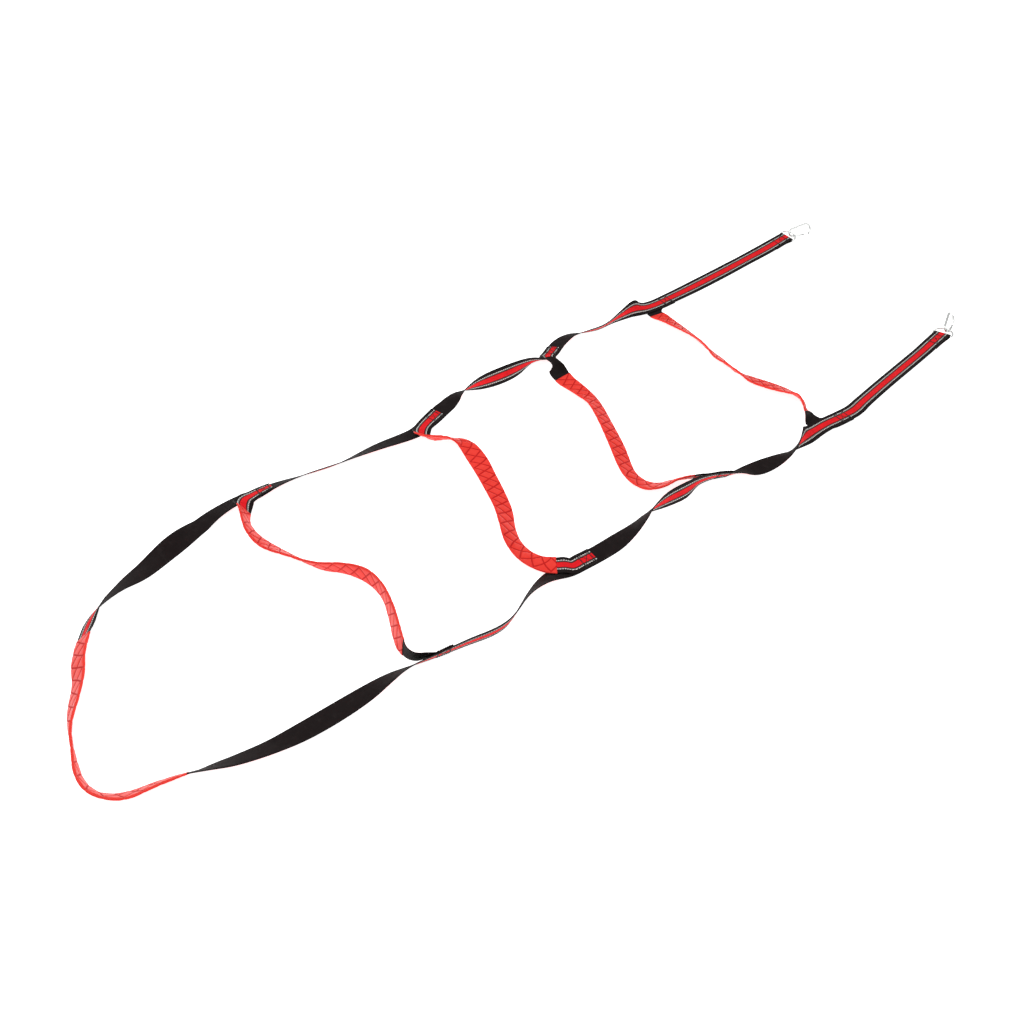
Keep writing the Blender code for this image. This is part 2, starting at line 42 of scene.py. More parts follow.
# Camera, first of all.
cameraSetup = {"place": (-0.9533, -0.9881, 1.2201), "tilt": 44.0, "heading": -38.5, "lens": 31.64}


def placeCamera():
    data = bpy.data.cameras.new("studioCamera")
    data.lens = cameraSetup["lens"]
    data.sensor_width = 36
    obj = bpy.data.objects.new("studioCamera", data)
    bpy.context.scene.collection.objects.link(obj)
    obj.location = cameraSetup["place"]
    obj.rotation_euler = (math.radians(cameraSetup["tilt"]), 0, math.radians(cameraSetup["heading"]))
    bpy.context.scene.camera = obj


placeCamera()
bpy.context.scene.view_settings.view_transform = "Standard"
print("camera placed")

# The way the straps lie: x, y, roll in degrees (0 has the striped face up), lift off the floor.
webbing = {
    "width": 0.038, "thick": 0.002, "layer": 0.0024, "station": 0.015, "curveParts": 12,
    "fineParts": 3, "floorGap": 0.0003, "loopOverlap": 0.055, "loopFacets": 14,
    "loopCloses": 0.035, "barToWeb": 0.0034, "crossing": 5, "overGap": 0.0020,
}
sleeveShape = {
    "halfWidth": 0.0205, "halfThick": 0.0025, "innerHalfThick": 0.0013, "innerHalfWidth": 0.0196,
    "channel": 0.00165, "quilt": 0.0125, "slope": 0.58, "reach": 0.0175,
    "columns": 18, "fineParts": 6,
}
mainRoute = [
    (0.970, 0.279, 4, 0.0072), (0.950, 0.279, 5, 0.0058), (0.915, 0.277, 9, 0.0030), (0.870, 0.276, 11, 0),
    (0.800, 0.274, 8, 0), (0.710, 0.270, 10, 0), (0.620, 0.268, 10, 0), (0.560, 0.267, 6, 0.0020),
    (0.520, 0.267, 4, 0.0032), (0.470, 0.268, 4, 0.0034), (0.435, 0.272, 14, 0.0034), (0.400, 0.276, 70, 0),
    (0.345, 0.273, 110, 0), (0.297, 0.270, 128, 0), (0.257, 0.281, 138, 0), (0.222, 0.297, 156, 0),
    (0.185, 0.293, 166, 0), (0.140, 0.272, 166, 0), (0.110, 0.265, 150, 0), (0.088, 0.266, 125, 0),
    (0.040, 0.265, 84, 0), (-0.005, 0.268, 72, 0), (-0.047, 0.273, 90, 0), (-0.087, 0.280, 130, 0),
    (-0.112, 0.283, 162, 0), (-0.150, 0.273, 182, 0), (-0.205, 0.254, 178, 0), (-0.250, 0.241, 170, 0),
    (-0.330, 0.248, 158, 0), (-0.420, 0.249, 136, 0), (-0.490, 0.263, 137, 0), (-0.545, 0.276, 152, 0),
    (-0.590, 0.281, 166, 0), (-0.635, 0.286, 162, 0), (-0.700, 0.276, 180, 0), (-0.770, 0.245, 228, 0),
    (-0.830, 0.219, 262, 0), (-0.880, 0.209, 292, 0), (-0.920, 0.194, 306, 0), (-0.947, 0.172, 322, 0),
    (-0.968, 0.143, 318, 0), (-0.988, 0.108, 316, 0), (-1.002, 0.069, 312, 0), (-1.026, 0.025, 308, 0),
    (-1.045, -0.020, 288, 0), (-1.055, -0.065, 278, 0), (-1.060, -0.100, 266, 0), (-1.054, -0.132, 250, 0),
    (-1.037, -0.154, 236, 0), (-1.014, -0.168, 227, 0), (-0.981, -0.176, 230, 0), (-0.950, -0.185, 235, 0),
    (-0.925, -0.193, 236, 0), (-0.898, -0.201, 224, 0), (-0.868, -0.210, 213, 0), (-0.820, -0.220, 202, 0),
    (-0.770, -0.224, 188, 0), (-0.715, -0.226, 184, 0), (-0.660, -0.228, 193, 0), (-0.615, -0.230, 214, 0),
    (-0.580, -0.235, 234, 0), (-0.535, -0.245, 244, 0), (-0.480, -0.256, 250, 0), (-0.435, -0.266, 252, 0),
    (-0.405, -0.266, 252, 0), (-0.380, -0.258, 250, 0), (-0.352, -0.246, 246, 0), (-0.322, -0.236, 231, 0),
    (-0.285, -0.229, 208, 0), (-0.235, -0.230, 181, 0), (-0.175, -0.235, 181, 0), (-0.130, -0.236, 183, 0),
    (-0.095, -0.236, 204, 0), (-0.063, -0.232, 226, 0), (-0.035, -0.226, 242, 0), (0.010, -0.227, 275, 0),
    (0.055, -0.231, 282, 0), (0.100, -0.231, 252, 0), (0.135, -0.241, 240, 0), (0.160, -0.254, 233, 0),
    (0.195, -0.260, 196, 0), (0.235, -0.267, 180, 0), (0.275, -0.277, 200, 0), (0.305, -0.282, 236, 0),
    (0.348, -0.274, 290, 0), (0.392, -0.266, 352, 0.0032), (0.430, -0.266, 361, 0.0034),
    (0.470, -0.271, 362, 0.0034), (0.515, -0.275, 364, 0.0032), (0.560, -0.269, 370, 0.0005),
    (0.640, -0.260, 372, 0), (0.740, -0.250, 371, 0), (0.810, -0.243, 371, 0), (0.850, -0.239, 369, 0.0035),
    (0.882, -0.236, 369, 0.0060), (0.900, -0.234, 369, 0.0072),
]
bottomSleeve = ((-0.968, 0.139), (-0.925, -0.192))
steps = [
    {
        "name": "step1", "cad": "step_1", "leave": (0.470, 0.268), "meet": (0.445, -0.267), "bare": (3, 4),
        "tabs": (3, 3), "over": False, "turned": False,
        "way": [
            (0.455, 0.258, 180, -0.0014), (0.449, 0.246, 180, -0.0012), (0.446, 0.232, 183, 0.0002),
            (0.445, 0.218, 190, 0), (0.443, 0.195, 199, 0),
            (0.441, 0.160, 207, 0), (0.437, 0.112, 219, 0), (0.428, 0.068, 231, 0), (0.421, 0.018, 214, 0),
            (0.413, -0.032, 228, 0), (0.423, -0.072, 203, 0), (0.437, -0.108, 199, 0), (0.448, -0.142, 204, 0),
            (0.451, -0.173, 217, 0), (0.440, -0.197, 238, 0), (0.430, -0.211, 241, 0), (0.426, -0.224, 217, 0),
            (0.425, -0.236, 181, -0.0013), (0.427, -0.248, 180, -0.0014), (0.434, -0.259, 180, -0.0014),
        ],
    },
    {
        "name": "step2", "cad": "step_2", "leave": (0.140, 0.272), "meet": (0.115, -0.235), "bare": (6, 2),
        "tabs": (2, 3), "over": True, "turned": True,
        "way": [
            (0.122, 0.258, 0, 0.0060), (0.113, 0.240, 40, 0.0040), (0.111, 0.222, 110, 0), (0.112, 0.200, 168, 0),
            (0.110, 0.155, 186, 0), (0.106, 0.110, 197, 0), (0.097, 0.071, 210, 0), (0.076, 0.019, 213, 0),
            (0.046, -0.048, 208, 0), (0.013, -0.111, 211, 0), (0.006, -0.145, 205, 0), (0.013, -0.171, 203, 0),
            (0.031, -0.188, 215, 0), (0.060, -0.197, 228, 0), (0.088, -0.210, 232, 0),
        ],
    },
    {
        "name": "step3", "cad": "step_3", "leave": (-0.205, 0.253), "meet": (-0.235, -0.230), "bare": (4, 2),
        "tabs": (2, 3), "over": True, "turned": False,
        "way": [
            (-0.230, 0.238, 0, 0.0022), (-0.245, 0.215, 40, 0), (-0.235, 0.192, 54, 0),
            (-0.210, 0.174, 46, 0), (-0.190, 0.145, 21, 0), (-0.194, 0.100, 6, 0), (-0.209, 0.051, 16, 0),
            (-0.224, 0.004, 21, 0), (-0.242, -0.045, 29, 0), (-0.266, -0.089, 41, 0), (-0.281, -0.124, 34, 0),
            (-0.284, -0.158, 23, 0), (-0.276, -0.188, 14, 0.0020), (-0.260, -0.210, 4, 0.0055),
        ],
    },
    {
        "name": "step4", "cad": "step_4", "leave": (-0.590, 0.281), "meet": (-0.535, -0.245), "bare": (4, 4),
        "tabs": (2, 2), "over": True, "turned": False,
        "way": [
            (-0.616, 0.268, 10, 0.0060), (-0.627, 0.243, 66, 0), (-0.636, 0.218, 74, 0),
            (-0.641, 0.180, 56, 0), (-0.634, 0.139, 42, 0), (-0.613, 0.088, 53, 0), (-0.588, 0.038, 66, 0),
            (-0.556, 0.004, 76, 0), (-0.534, -0.035, 90, 0), (-0.531, -0.080, 94, 0),
            (-0.544, -0.128, 103, 0), (-0.559, -0.166, 107, 0), (-0.568, -0.196, 101, 0),
            (-0.565, -0.225, 78, 0),
        ],
    },
]


def catmull(before, a, b, after, t):
    return 0.5 * (
        2 * a + (b - before) * t + (2 * before - 5 * a + 4 * b - after) * t * t
        + (3 * a - before - 3 * b + after) * t ** 3
    )


def smoothWay(points, step):
    ends = [2 * points[0] - points[1]] + points + [2 * points[-1] - points[-2]]
    fine = []
    for k in range(1, len(ends) - 2):
        fine += [
            catmull(*ends[k - 1:k + 3], part / webbing["curveParts"]) for part in range(webbing["curveParts"])
        ]
    fine.append(points[-1])
    along = [0.0]
    for a, b in zip(fine, fine[1:]):
        along.append(along[-1] + (b.xy - a.xy).length)
    count = max(1, round(along[-1] / step))
    even, k = [], 0
    for n in range(count + 1):
        want = along[-1] * n / count
        while k < len(fine) - 2 and along[k + 1] < want:
            k += 1
        share = (want - along[k]) / (along[k + 1] - along[k])
        even.append(fine[k].lerp(fine[k + 1], min(1.0, share)))
    return even


def planOf(spots):
    return [Vector((x, y, math.radians(roll), lift)) for x, y, roll, lift in spots]


def onFloor(point, halfWidth, halfThick):  # the strap's lower edge stands at the point's lift
    x, y, roll, lift = point
    height = halfWidth * abs(math.sin(roll)) + halfThick * abs(math.cos(roll)) + lift + webbing["floorGap"]
    return Vector((x, y, max(height, webbing["thick"] / 2), roll))


def framesOf(points):
    made = []
    for k, point in enumerate(points):
        ahead = points[min(k + 1, len(points) - 1)].xyz - points[max(k - 1, 0)].xyz
        ahead.normalize()
        level = Vector((0, 0, 1)).cross(ahead).normalized()
        up = ahead.cross(level)
        turn = point.w
        made.append({
            "at": point.xyz, "ahead": ahead, "roll": turn,
            "normal": up * math.cos(turn) + level * math.sin(turn),
            "side": level * math.cos(turn) - up * math.sin(turn),
        })
    return made


def nearest(stations, place):
    return min(range(len(stations)), key=lambda k: (stations[k]["at"].xy - Vector(place)).length)


def tabOf(stations, turned):  # a step's end lies along the rail's black face
    way = 1 if turned else -1
    return [{
        "at": rail["at"] - rail["normal"] * webbing["layer"], "ahead": rail["ahead"],
        "side": rail["side"] * way, "normal": rail["normal"] * way,
        "roll": rail["roll"] + (0 if turned else math.pi),
    } for rail in stations]


def joinPoint(station, towards):
    turns = round((towards.z - station["roll"]) / (2 * math.pi))
    return Vector((station["at"].x, station["at"].y, station["roll"] + turns * 2 * math.pi, towards.w))


def clearOf(rail, station):  # lifts a step's end over the rail it crosses
    steep, half = 0.35, webbing["thick"] / 2
    for share in (-1, -0.5, 0, 0.5, 1):
        spot = station["at"] + station["side"] * (share * webbing["width"] / 2)
        near = rail[nearest(rail, spot.xy)]
        side = near["side"].xy
        if side.length < steep:
            continue
        across = (spot - near["at"]).xy.dot(side) / side.length_squared
        if abs(across) > webbing["width"] / 2 + webbing["thick"]:
            continue
        top = near["at"].z + across * near["side"].z + half / max(steep, abs(near["normal"].z))
        under = spot.z - half / max(steep, abs(station["normal"].z))
        station["at"] = station["at"] + Vector((0, 0, max(0.0, top + webbing["overGap"] - under)))


def loopOf(end, outward):  # half a turn down round the ring's bar
    out = end["ahead"] * outward
    down = -end["normal"]
    bar = end["at"] + down * webbing["barToWeb"]
    made = []
    for n in range(1, webbing["loopFacets"] + 1):
        turn = math.pi * n / webbing["loopFacets"]
        spoke = out * math.sin(turn) - down * math.cos(turn)
        made.append({
            "at": bar + spoke * webbing["barToWeb"], "ahead": out * math.cos(turn) + down * math.sin(turn),
            "side": end["side"], "normal": spoke,
        })
    return bar, made


def underLayer(stations, firstDrop):
    made = []
    for k, above in enumerate(stations):
        closes = max(0.0, 1 - (k + 1) * webbing["station"] / webbing["loopCloses"])
        drop = webbing["layer"] + (firstDrop - webbing["layer"]) * closes
        made.append({
            "at": above["at"] - above["normal"] * drop, "ahead": -above["ahead"],
            "side": above["side"], "normal": -above["normal"],
        })
    return made


def finer(stations, parts):  # more stations on the same smooth curve
    made = []
    for k in range(len(stations) - 1):
        four = [
            stations[max(0, k - 1)], stations[k], stations[k + 1], stations[min(len(stations) - 1, k + 2)],
        ]
        for part in range(parts):
            t = part / parts
            place = catmull(*[s["at"] for s in four], t)
            place.z = max(place.z, min(four[1]["at"].z, four[2]["at"].z))
            normal = four[1]["normal"].lerp(four[2]["normal"], t).normalized()
            spots = [s["at"] for s in four]
            ahead = (catmull(*spots, t + 0.02) - catmull(*spots, t - 0.02)).normalized()
            side = ahead.cross(normal).normalized()
            if side.dot(four[1]["side"]) < 0:
                side = -side
            made.append({"at": place, "ahead": ahead, "side": side, "normal": normal})
    made.append(stations[-1])
    return made


def layMain():
    line = smoothWay(planOf(mainRoute), webbing["station"])
    a, b = (min(range(len(line)), key=lambda k: (line[k].xy - Vector(end)).length) for end in bottomSleeve)
    points = []
    for k, point in enumerate(line):
        sleeved = a <= k < b
        half = sleeveShape["halfWidth"] if sleeved else webbing["width"] / 2
        points.append(onFloor(point, half, sleeveShape["halfThick"] if sleeved else webbing["thick"] / 2))
    return framesOf(points), (a, b)


def layStep(rail, spec):
    leave, meet = nearest(rail, spec["leave"]), nearest(rail, spec["meet"])
    leftTab, rightTab = spec["tabs"]
    start = tabOf(rail[leave - leftTab:leave + 1], False)
    end = tabOf(rail[meet:meet + rightTab + 1], spec["turned"])
    way = planOf(spec["way"])
    first, last = joinPoint(start[-1], way[0]), joinPoint(end[0], way[-1])
    free = smoothWay([first, *way, last], webbing["station"])
    inner = [onFloor(p, sleeveShape["halfWidth"], sleeveShape["halfThick"]) for p in free[1:-1]]
    ends = [Vector((*start[-1]["at"], first.z)), Vector((*end[0]["at"], last.z))]
    middle = framesOf([ends[0], *inner, ends[1]])[1:-1]
    if spec["over"]:
        for station in middle[:webbing["crossing"]] + middle[-webbing["crossing"]:]:
            clearOf(rail, station)
    spec["leaveAt"], spec["meetAt"] = leave, meet
    stations = start + middle + end
    a = leftTab + spec["bare"][0]
    b = len(stations) - rightTab - spec["bare"][1]
    return stations, (a, b)


def centred(stations):
    return [{**s, "at": s["at"] + centring} for s in stations]


# Meshes of straps and sleeves.
# Half of the webbing's cross-section, in millimetres from its middle: striped face, edge, black face.
faceOutline = [
    (-18.2, 0.74), (-17.5, 0.88), (-14.5, 0.92), (-11.6, 0.86), (-11.2, 1.0), (-9.3, 1.0), (-7.4, 0.98), (-7.0, 0.86),
    (-6.5, 0.86), (-6.1, 1.0), (-3.0, 1.0), (0, 1.0), (3.0, 1.0), (6.1, 1.0), (6.5, 0.86), (7.0, 0.86), (7.4, 0.98),
    (9.3, 1.0), (11.2, 1.0), (11.6, 0.86), (14.5, 0.92), (17.5, 0.88), (18.2, 0.74),
]
edgeOutline = [(18.75, 0.46), (19.0, 0.0), (18.75, -0.46)]
backOutline = [
    (18.2, -0.78), (17.2, -0.95), (9.0, -1.0), (0, -0.98), (-9.0, -1.0), (-17.2, -0.95), (-18.2, -0.78),
]


def alongOf(stations):
    along = [0.0]
    for a, b in zip(stations, stations[1:]):
        along.append(along[-1] + (b["at"] - a["at"]).length)
    return along


def newPiece(name, bm, look, smoothAngle=None):
    mesh = bpy.data.meshes.new(name)
    bm.normal_update()
    bm.to_mesh(mesh)
    bm.free()
    obj = bpy.data.objects.new(name, mesh)
    bpy.context.scene.collection.objects.link(obj)
    mesh.materials.append(look)
    mesh.shade_smooth()
    if smoothAngle:
        mesh.set_sharp_from_angle(angle=math.radians(smoothAngle))
    return obj


def strapPiece(name, stations, look):
    bm = bmesh.new()
    way = bm.loops.layers.uv.new("strapWay")
    outline = [(x, z, x) for x, z in faceOutline]
    outline += [(x, z, 19.0 - z) for x, z in edgeOutline]
    outline += [(x, z, 1000 + x) for x, z in backOutline]
    outline += [(-x, z, 19.0 - z) for x, z in reversed(edgeOutline)]
    along = alongOf(stations)
    rings = [
        [bm.verts.new(s["at"] + s["side"] * (x / 1000) + s["normal"] * (z / 1000)) for x, z, _ in outline]
        for s in stations
    ]
    count = len(outline)
    for k, (a, b) in enumerate(zip(rings, rings[1:])):
        for n in range(count):
            m = (n + 1) % count
            face = bm.faces.new((a[n], b[n], b[m], a[m]))
            us = (outline[n][2], outline[n][2], outline[m][2], outline[m][2])
            if max(us) - min(us) > 500:  # the turn from an edge to the black face
                us = tuple(u if u > 500 else 1000 + outline[n][0] for u in us)
            elif abs(us[0] - us[2]) > 15:
                us = (19.0, 19.0, 19.5, 19.5)
            for loop, u, v in zip(face.loops, us, (along[k], along[k + 1], along[k + 1], along[k])):
                loop[way].uv = (u / 1000, v)
    for end, turned in ((rings[0], False), (rings[-1], True)):
        face = bm.faces.new(end if not turned else end[::-1])
        for loop in face.loops:
            loop[way].uv = (1.0, 0)
    bmesh.ops.recalc_face_normals(bm, faces=bm.faces)
    return newPiece(name, bm, look, 50)


def quiltLine(across, along):  # how far a spot is from the nearest sewn zig-zag
    q = sleeveShape["quilt"]
    phase = along / q % 4
    want = sleeveShape["reach"] * (1 - abs(phase - 2))
    return min(abs(across - want), abs(across + want)) * sleeveShape["slope"]


def sleevePiece(name, stations, look):
    bm = bmesh.new()
    way = bm.loops.layers.uv.new("strapWay")
    fine = finer(stations, sleeveShape["fineParts"])
    along = alongOf(fine)
    total, half, columns = along[-1], sleeveShape["halfWidth"], sleeveShape["columns"]
    flat = half - 0.0011

    def ring(station, where):
        points, us = [], []
        toEnd = min(where, total - where)
        hem = 0.0004 * max(0.0, 1 - abs(toEnd - 0.003) / 0.003)
        for way_ in (1, -1):
            for c in range(columns + 1):
                across = (-flat + 2 * flat * c / columns) * way_
                puff = min(1.0, quiltLine(across, where) / 0.0042)
                puff = puff * puff * (3 - 2 * puff) * min(1.0, max(0.0, toEnd - 0.006) / 0.005)
                rise = sleeveShape["channel"] + (sleeveShape["halfThick"] - sleeveShape["channel"]) * puff + hem
                rise *= 1 - 0.22 * (abs(across) / flat) ** 6
                points.append(station["at"] + station["side"] * across + station["normal"] * (rise * way_))
                us.append(across + (1.0 if way_ < 0 else 0.0))
            for angle in (60, 30, 0, -30, -60) if way_ > 0 else (-60, -30, 0, 30, 60):
                out = (flat + 0.0011 * math.cos(math.radians(angle))) * way_
                rise = 0.0012 * math.sin(math.radians(angle))
                points.append(station["at"] + station["side"] * out + station["normal"] * rise)
                us.append(half + 1.0 * (angle < 0))
        return [bm.verts.new(p) for p in points], us

    outer = [ring(s, where) for s, where in zip(fine, along)]
    count = len(outer[0][0])

    def skin(a, b, us, v0, v1, inward=False):
        for n in range(count):
            m = (n + 1) % count
            order = (a[n], b[n], b[m], a[m]) if not inward else (a[m], b[m], b[n], a[n])
            face = bm.faces.new(order)
            u0, u1 = us[n], us[m]
            if abs(u0 - u1) > 0.5:
                u1 = u0
            spots = ((u0, v0), (u0, v1), (u1, v1), (u1, v0))
            if inward:
                spots = spots[::-1]
            for loop, spot in zip(face.loops, spots):
                loop[way].uv = spot

    for k, ((a, us), (b, _)) in enumerate(zip(outer, outer[1:])):
        skin(a, b, us, along[k], along[k + 1])
    inner = []
    for station in stations:
        points = []
        for vert, s in zip(outer[0][0], outer[0][1]):
            local = vert.co - fine[0]["at"]
            across, rise = local.dot(fine[0]["side"]), local.dot(fine[0]["normal"])
            share = sleeveShape["innerHalfWidth"] / half
            points.append(station["at"] + station["side"] * (across * share) + station["normal"] * (
                math.copysign(min(abs(rise), sleeveShape["innerHalfThick"]), rise)))
        inner.append([bm.verts.new(p) for p in points])
    coarse = alongOf(stations)
    for k, (a, b) in enumerate(zip(inner, inner[1:])):
        skin(a, b, outer[0][1], coarse[k], coarse[k + 1], True)
    skin(inner[0], outer[0][0], outer[0][1], 0, 0)
    skin(outer[-1][0], inner[-1], outer[0][1], total, total)
    bmesh.ops.recalc_face_normals(bm, faces=bm.faces)
    return newPiece(name, bm, look)


# Sewn thread: rows of small stitches on a face of the strap.
threadShape = {
    "radius": 0.00070, "length": 0.0034, "pitch": 0.0036, "row": 0.0015, "sides": 5, "box": 0.024,
    "margin": 0.004, "halfAcross": 0.0160,
}


def stitchRings(bm, centre, run, out):
    across = run.cross(out).normalized()
    half, radius = threadShape["length"] / 2, threadShape["radius"]
    rings = []
    for where, size in ((-1, 0.25), (-0.7, 0.85), (0, 1.0), (0.7, 0.85), (1, 0.25)):
        ring = []
        for k in range(threadShape["sides"]):
            turn = 2 * math.pi * k / threadShape["sides"]
            ring.append(bm.verts.new(
                centre + run * (half * where) + across * (radius * size * math.cos(turn))
                + out * (radius * size * math.sin(turn))))
        rings.append(ring)
    for a, b in zip(rings, rings[1:]):
        for k in range(len(a)):
            m = (k + 1) % len(a)
            bm.faces.new((a[k], a[m], b[m], b[k]))
    bm.faces.new(rings[0][::-1])
    bm.faces.new(rings[-1])


def spotOn(stations, along, where, across, rise):
    k = 0
    while k < len(along) - 2 and along[k + 1] < where:
        k += 1
    t = min(1.0, max(0.0, (where - along[k]) / (along[k + 1] - along[k])))
    a, b = stations[k], stations[k + 1]
    side = a["side"].lerp(b["side"], t).normalized()
    normal = a["normal"].lerp(b["normal"], t).normalized()
    return a["at"].lerp(b["at"], t) + side * across + normal * rise, normal


def sewLine(bm, stations, along, start, end, rise):  # start and end are (along, across)
    a, b = Vector(start), Vector(end)
    count = max(1, int((b - a).length / threadShape["pitch"]))
    for k in range(count):
        middle = a.lerp(b, (k + 0.5) / count)
        before, after = a.lerp(b, (k + 0.2) / count), a.lerp(b, (k + 0.8) / count)
        centre, normal = spotOn(stations, along, middle.x, middle.y, rise)
        p, _ = spotOn(stations, along, before.x, before.y, rise)
        q, _ = spotOn(stations, along, after.x, after.y, rise)
        out = normal if rise > 0 else -normal
        run = (q - p).normalized()
        stitchRings(bm, centre, run, out)


def sewBox(bm, stations, first, last, rises):  # a box with a cross in it, on both outer faces
    along = alongOf(stations)
    h = threadShape["halfAcross"]
    for rise in rises:
        for start, end in (
            ((first, -h), (last, -h)), ((first, h), (last, h)), ((first, -h), (first, h)), ((last, -h), (last, h)),
            ((first + threadShape["row"], -h), (first + threadShape["row"], h)),
            ((last - threadShape["row"], -h), (last - threadShape["row"], h)),
            ((first, -h), (last, h)), ((first, h), (last, -h)),
        ):
            sewLine(bm, stations, along, start, end, rise)


# Materials.
def newMaterial(name):
    made = bpy.data.materials.new(name)
    made.use_nodes = True
    nodes = made.node_tree.nodes
    nodes.clear()
    shader = nodes.new("ShaderNodeBsdfPrincipled")
    output = nodes.new("ShaderNodeOutputMaterial")
    made.node_tree.links.new(shader.outputs[0], output.inputs[0])
    return made, made.node_tree, shader


def node(tree, kind, inputs=None, **settings):
    made = tree.nodes.new(kind)
    for key, value in settings.items():
        setattr(made, key, value)
    for key, value in (inputs or {}).items():
        if isinstance(value, bpy.types.NodeSocket):
            tree.links.new(value, made.inputs[key])
        else:
            made.inputs[key].default_value = value
    return made


def maths(tree, operation, a, b=None, c=None, clamp=False):
    values = {0: a}
    if b is not None:
        values[1] = b
    if c is not None:
        values[2] = c
    made = node(tree, "ShaderNodeMath", values, operation=operation)
    made.use_clamp = clamp
    return made.outputs[0]


def mixed(tree, share, a, b):
    made = node(tree, "ShaderNodeMix", data_type="RGBA")
    for key, value in ((0, share), (6, a), (7, b)):
        if isinstance(value, bpy.types.NodeSocket):
            tree.links.new(value, made.inputs[key])
        else:
            made.inputs[key].default_value = value
    return made.outputs[2]


def softStep(tree, value, low, high):  # 0 below low, 1 above high
    levels = {0: value, 1: low, 2: high, 3: 0.0, 4: 1.0}
    made = node(tree, "ShaderNodeMapRange", levels, interpolation_type="SMOOTHSTEP")
    return made.outputs[0]


def band(tree, value, low, high, soft=0.0003):
    up = softStep(tree, value, low - soft, low + soft)
    down = softStep(tree, value, high - soft, high + soft)
    return maths(tree, "SUBTRACT", up, down, clamp=True)


def newGroup(name, inputs, outputs):
    tree = bpy.data.node_groups.new(name, "ShaderNodeTree")
    for label, kind, value in inputs:
        socket = tree.interface.new_socket(name=label, in_out="INPUT", socket_type=kind)
        if value is not None:
            socket.default_value = value
    for label, kind in outputs:
        tree.interface.new_socket(name=label, in_out="OUTPUT", socket_type=kind)
    return tree, tree.nodes.new("NodeGroupInput"), tree.nodes.new("NodeGroupOutput")


def buildWeave():  # ribbed twill: yarns across and along, how deep each spot lies, and a tone with painted shade in the hollows and painted light on the raised yarn, plus random grain
    tree, start, end = newGroup(
        "wovenYarn",
        [("Vector", "NodeSocketVector", None), ("Rib", "NodeSocketFloat", 0.0014), ("Yarn", "NodeSocketFloat", 0.0011)],
        [("Height", "NodeSocketFloat"), ("HollowShadeAndGrain", "NodeSocketFloat")],
    )
    parts = node(tree, "ShaderNodeSeparateXYZ", {0: start.outputs["Vector"]})
    across = maths(tree, "DIVIDE", parts.outputs[0], start.outputs["Yarn"])
    along = maths(tree, "DIVIDE", parts.outputs[1], start.outputs["Rib"])
    column = maths(tree, "FLOOR", across)
    shift = maths(tree, "MULTIPLY", column, 0.5)
    yarn = maths(tree, "SINE", maths(tree, "MULTIPLY", across, 2 * math.pi))
    rib = maths(tree, "SINE", maths(tree, "MULTIPLY", maths(tree, "ADD", along, shift), 2 * math.pi))
    height = maths(tree, "MULTIPLY_ADD", rib, 0.35, 0.5)
    height = maths(tree, "MULTIPLY_ADD", maths(tree, "ABSOLUTE", yarn), 0.3, height)
    tree.links.new(height, end.inputs["Height"])
    grain = node(tree, "ShaderNodeTexNoise", {"Vector": start.outputs["Vector"], "Scale": 60.0, "Detail": 3.0})
    # painted shade: the tone follows the yarn height, with hollows darker and raised yarn lighter, and random grain
    # added on top
    hollowShadeAndGrain = maths(tree, "MULTIPLY_ADD", height, 0.35, grain.outputs[0])
    tree.links.new(hollowShadeAndGrain, end.inputs["HollowShadeAndGrain"])
    return tree


def buildWear():  # scuffs, dust and finger marks over a finish
    tree, start, end = newGroup(
        "handledWear",
        [("Vector", "NodeSocketVector", None), ("Scale", "NodeSocketFloat", 30.0), ("Amount", "NodeSocketFloat", 0.5)],
        [("Mask", "NodeSocketFloat"), ("Height", "NodeSocketFloat")],
    )
    wide = node(tree, "ShaderNodeTexNoise", {
        "Vector": start.outputs["Vector"], "Scale": start.outputs["Scale"], "Detail": 6.0, "Roughness": 0.62,
    })
    marks = softStep(tree, wide.outputs[0], 0.52, 0.70)
    mask = maths(tree, "MULTIPLY", marks, start.outputs["Amount"])
    tree.links.new(mask, end.inputs["Mask"])
    tree.links.new(wide.outputs[0], end.inputs["Height"])
    return tree


weaveGroup = buildWeave()
wearGroup = buildWear()


def useGroup(tree, group, inputs):
    made = node(tree, "ShaderNodeGroup", node_tree=group)
    for key, value in inputs.items():
        if isinstance(value, bpy.types.NodeSocket):
            tree.links.new(value, made.inputs[key])
        else:
            made.inputs[key].default_value = value
    return made


# The lighter black and the deeper red and silver are painted light and painted shade on the weave relief.
webLook = {
    "black": (0.0042, 0.0024, 0.0024, 1), "blackLitYarnTop": (0.0115, 0.0075, 0.0075, 1),
    "red": (0.84, 0.012, 0.018, 1), "redHollowShade": (0.50, 0.005, 0.008, 1),
    "silver": (0.27, 0.235, 0.215, 1), "silverHollowShade": (0.10, 0.08, 0.075, 1), "stitch": (0.88, 0.87, 0.84, 1),
    "redHalf": 0.0060, "silverFrom": 0.0080, "silverTo": 0.0098, "stitchAt": 0.0104, "stitchPitch": 0.0046,
}


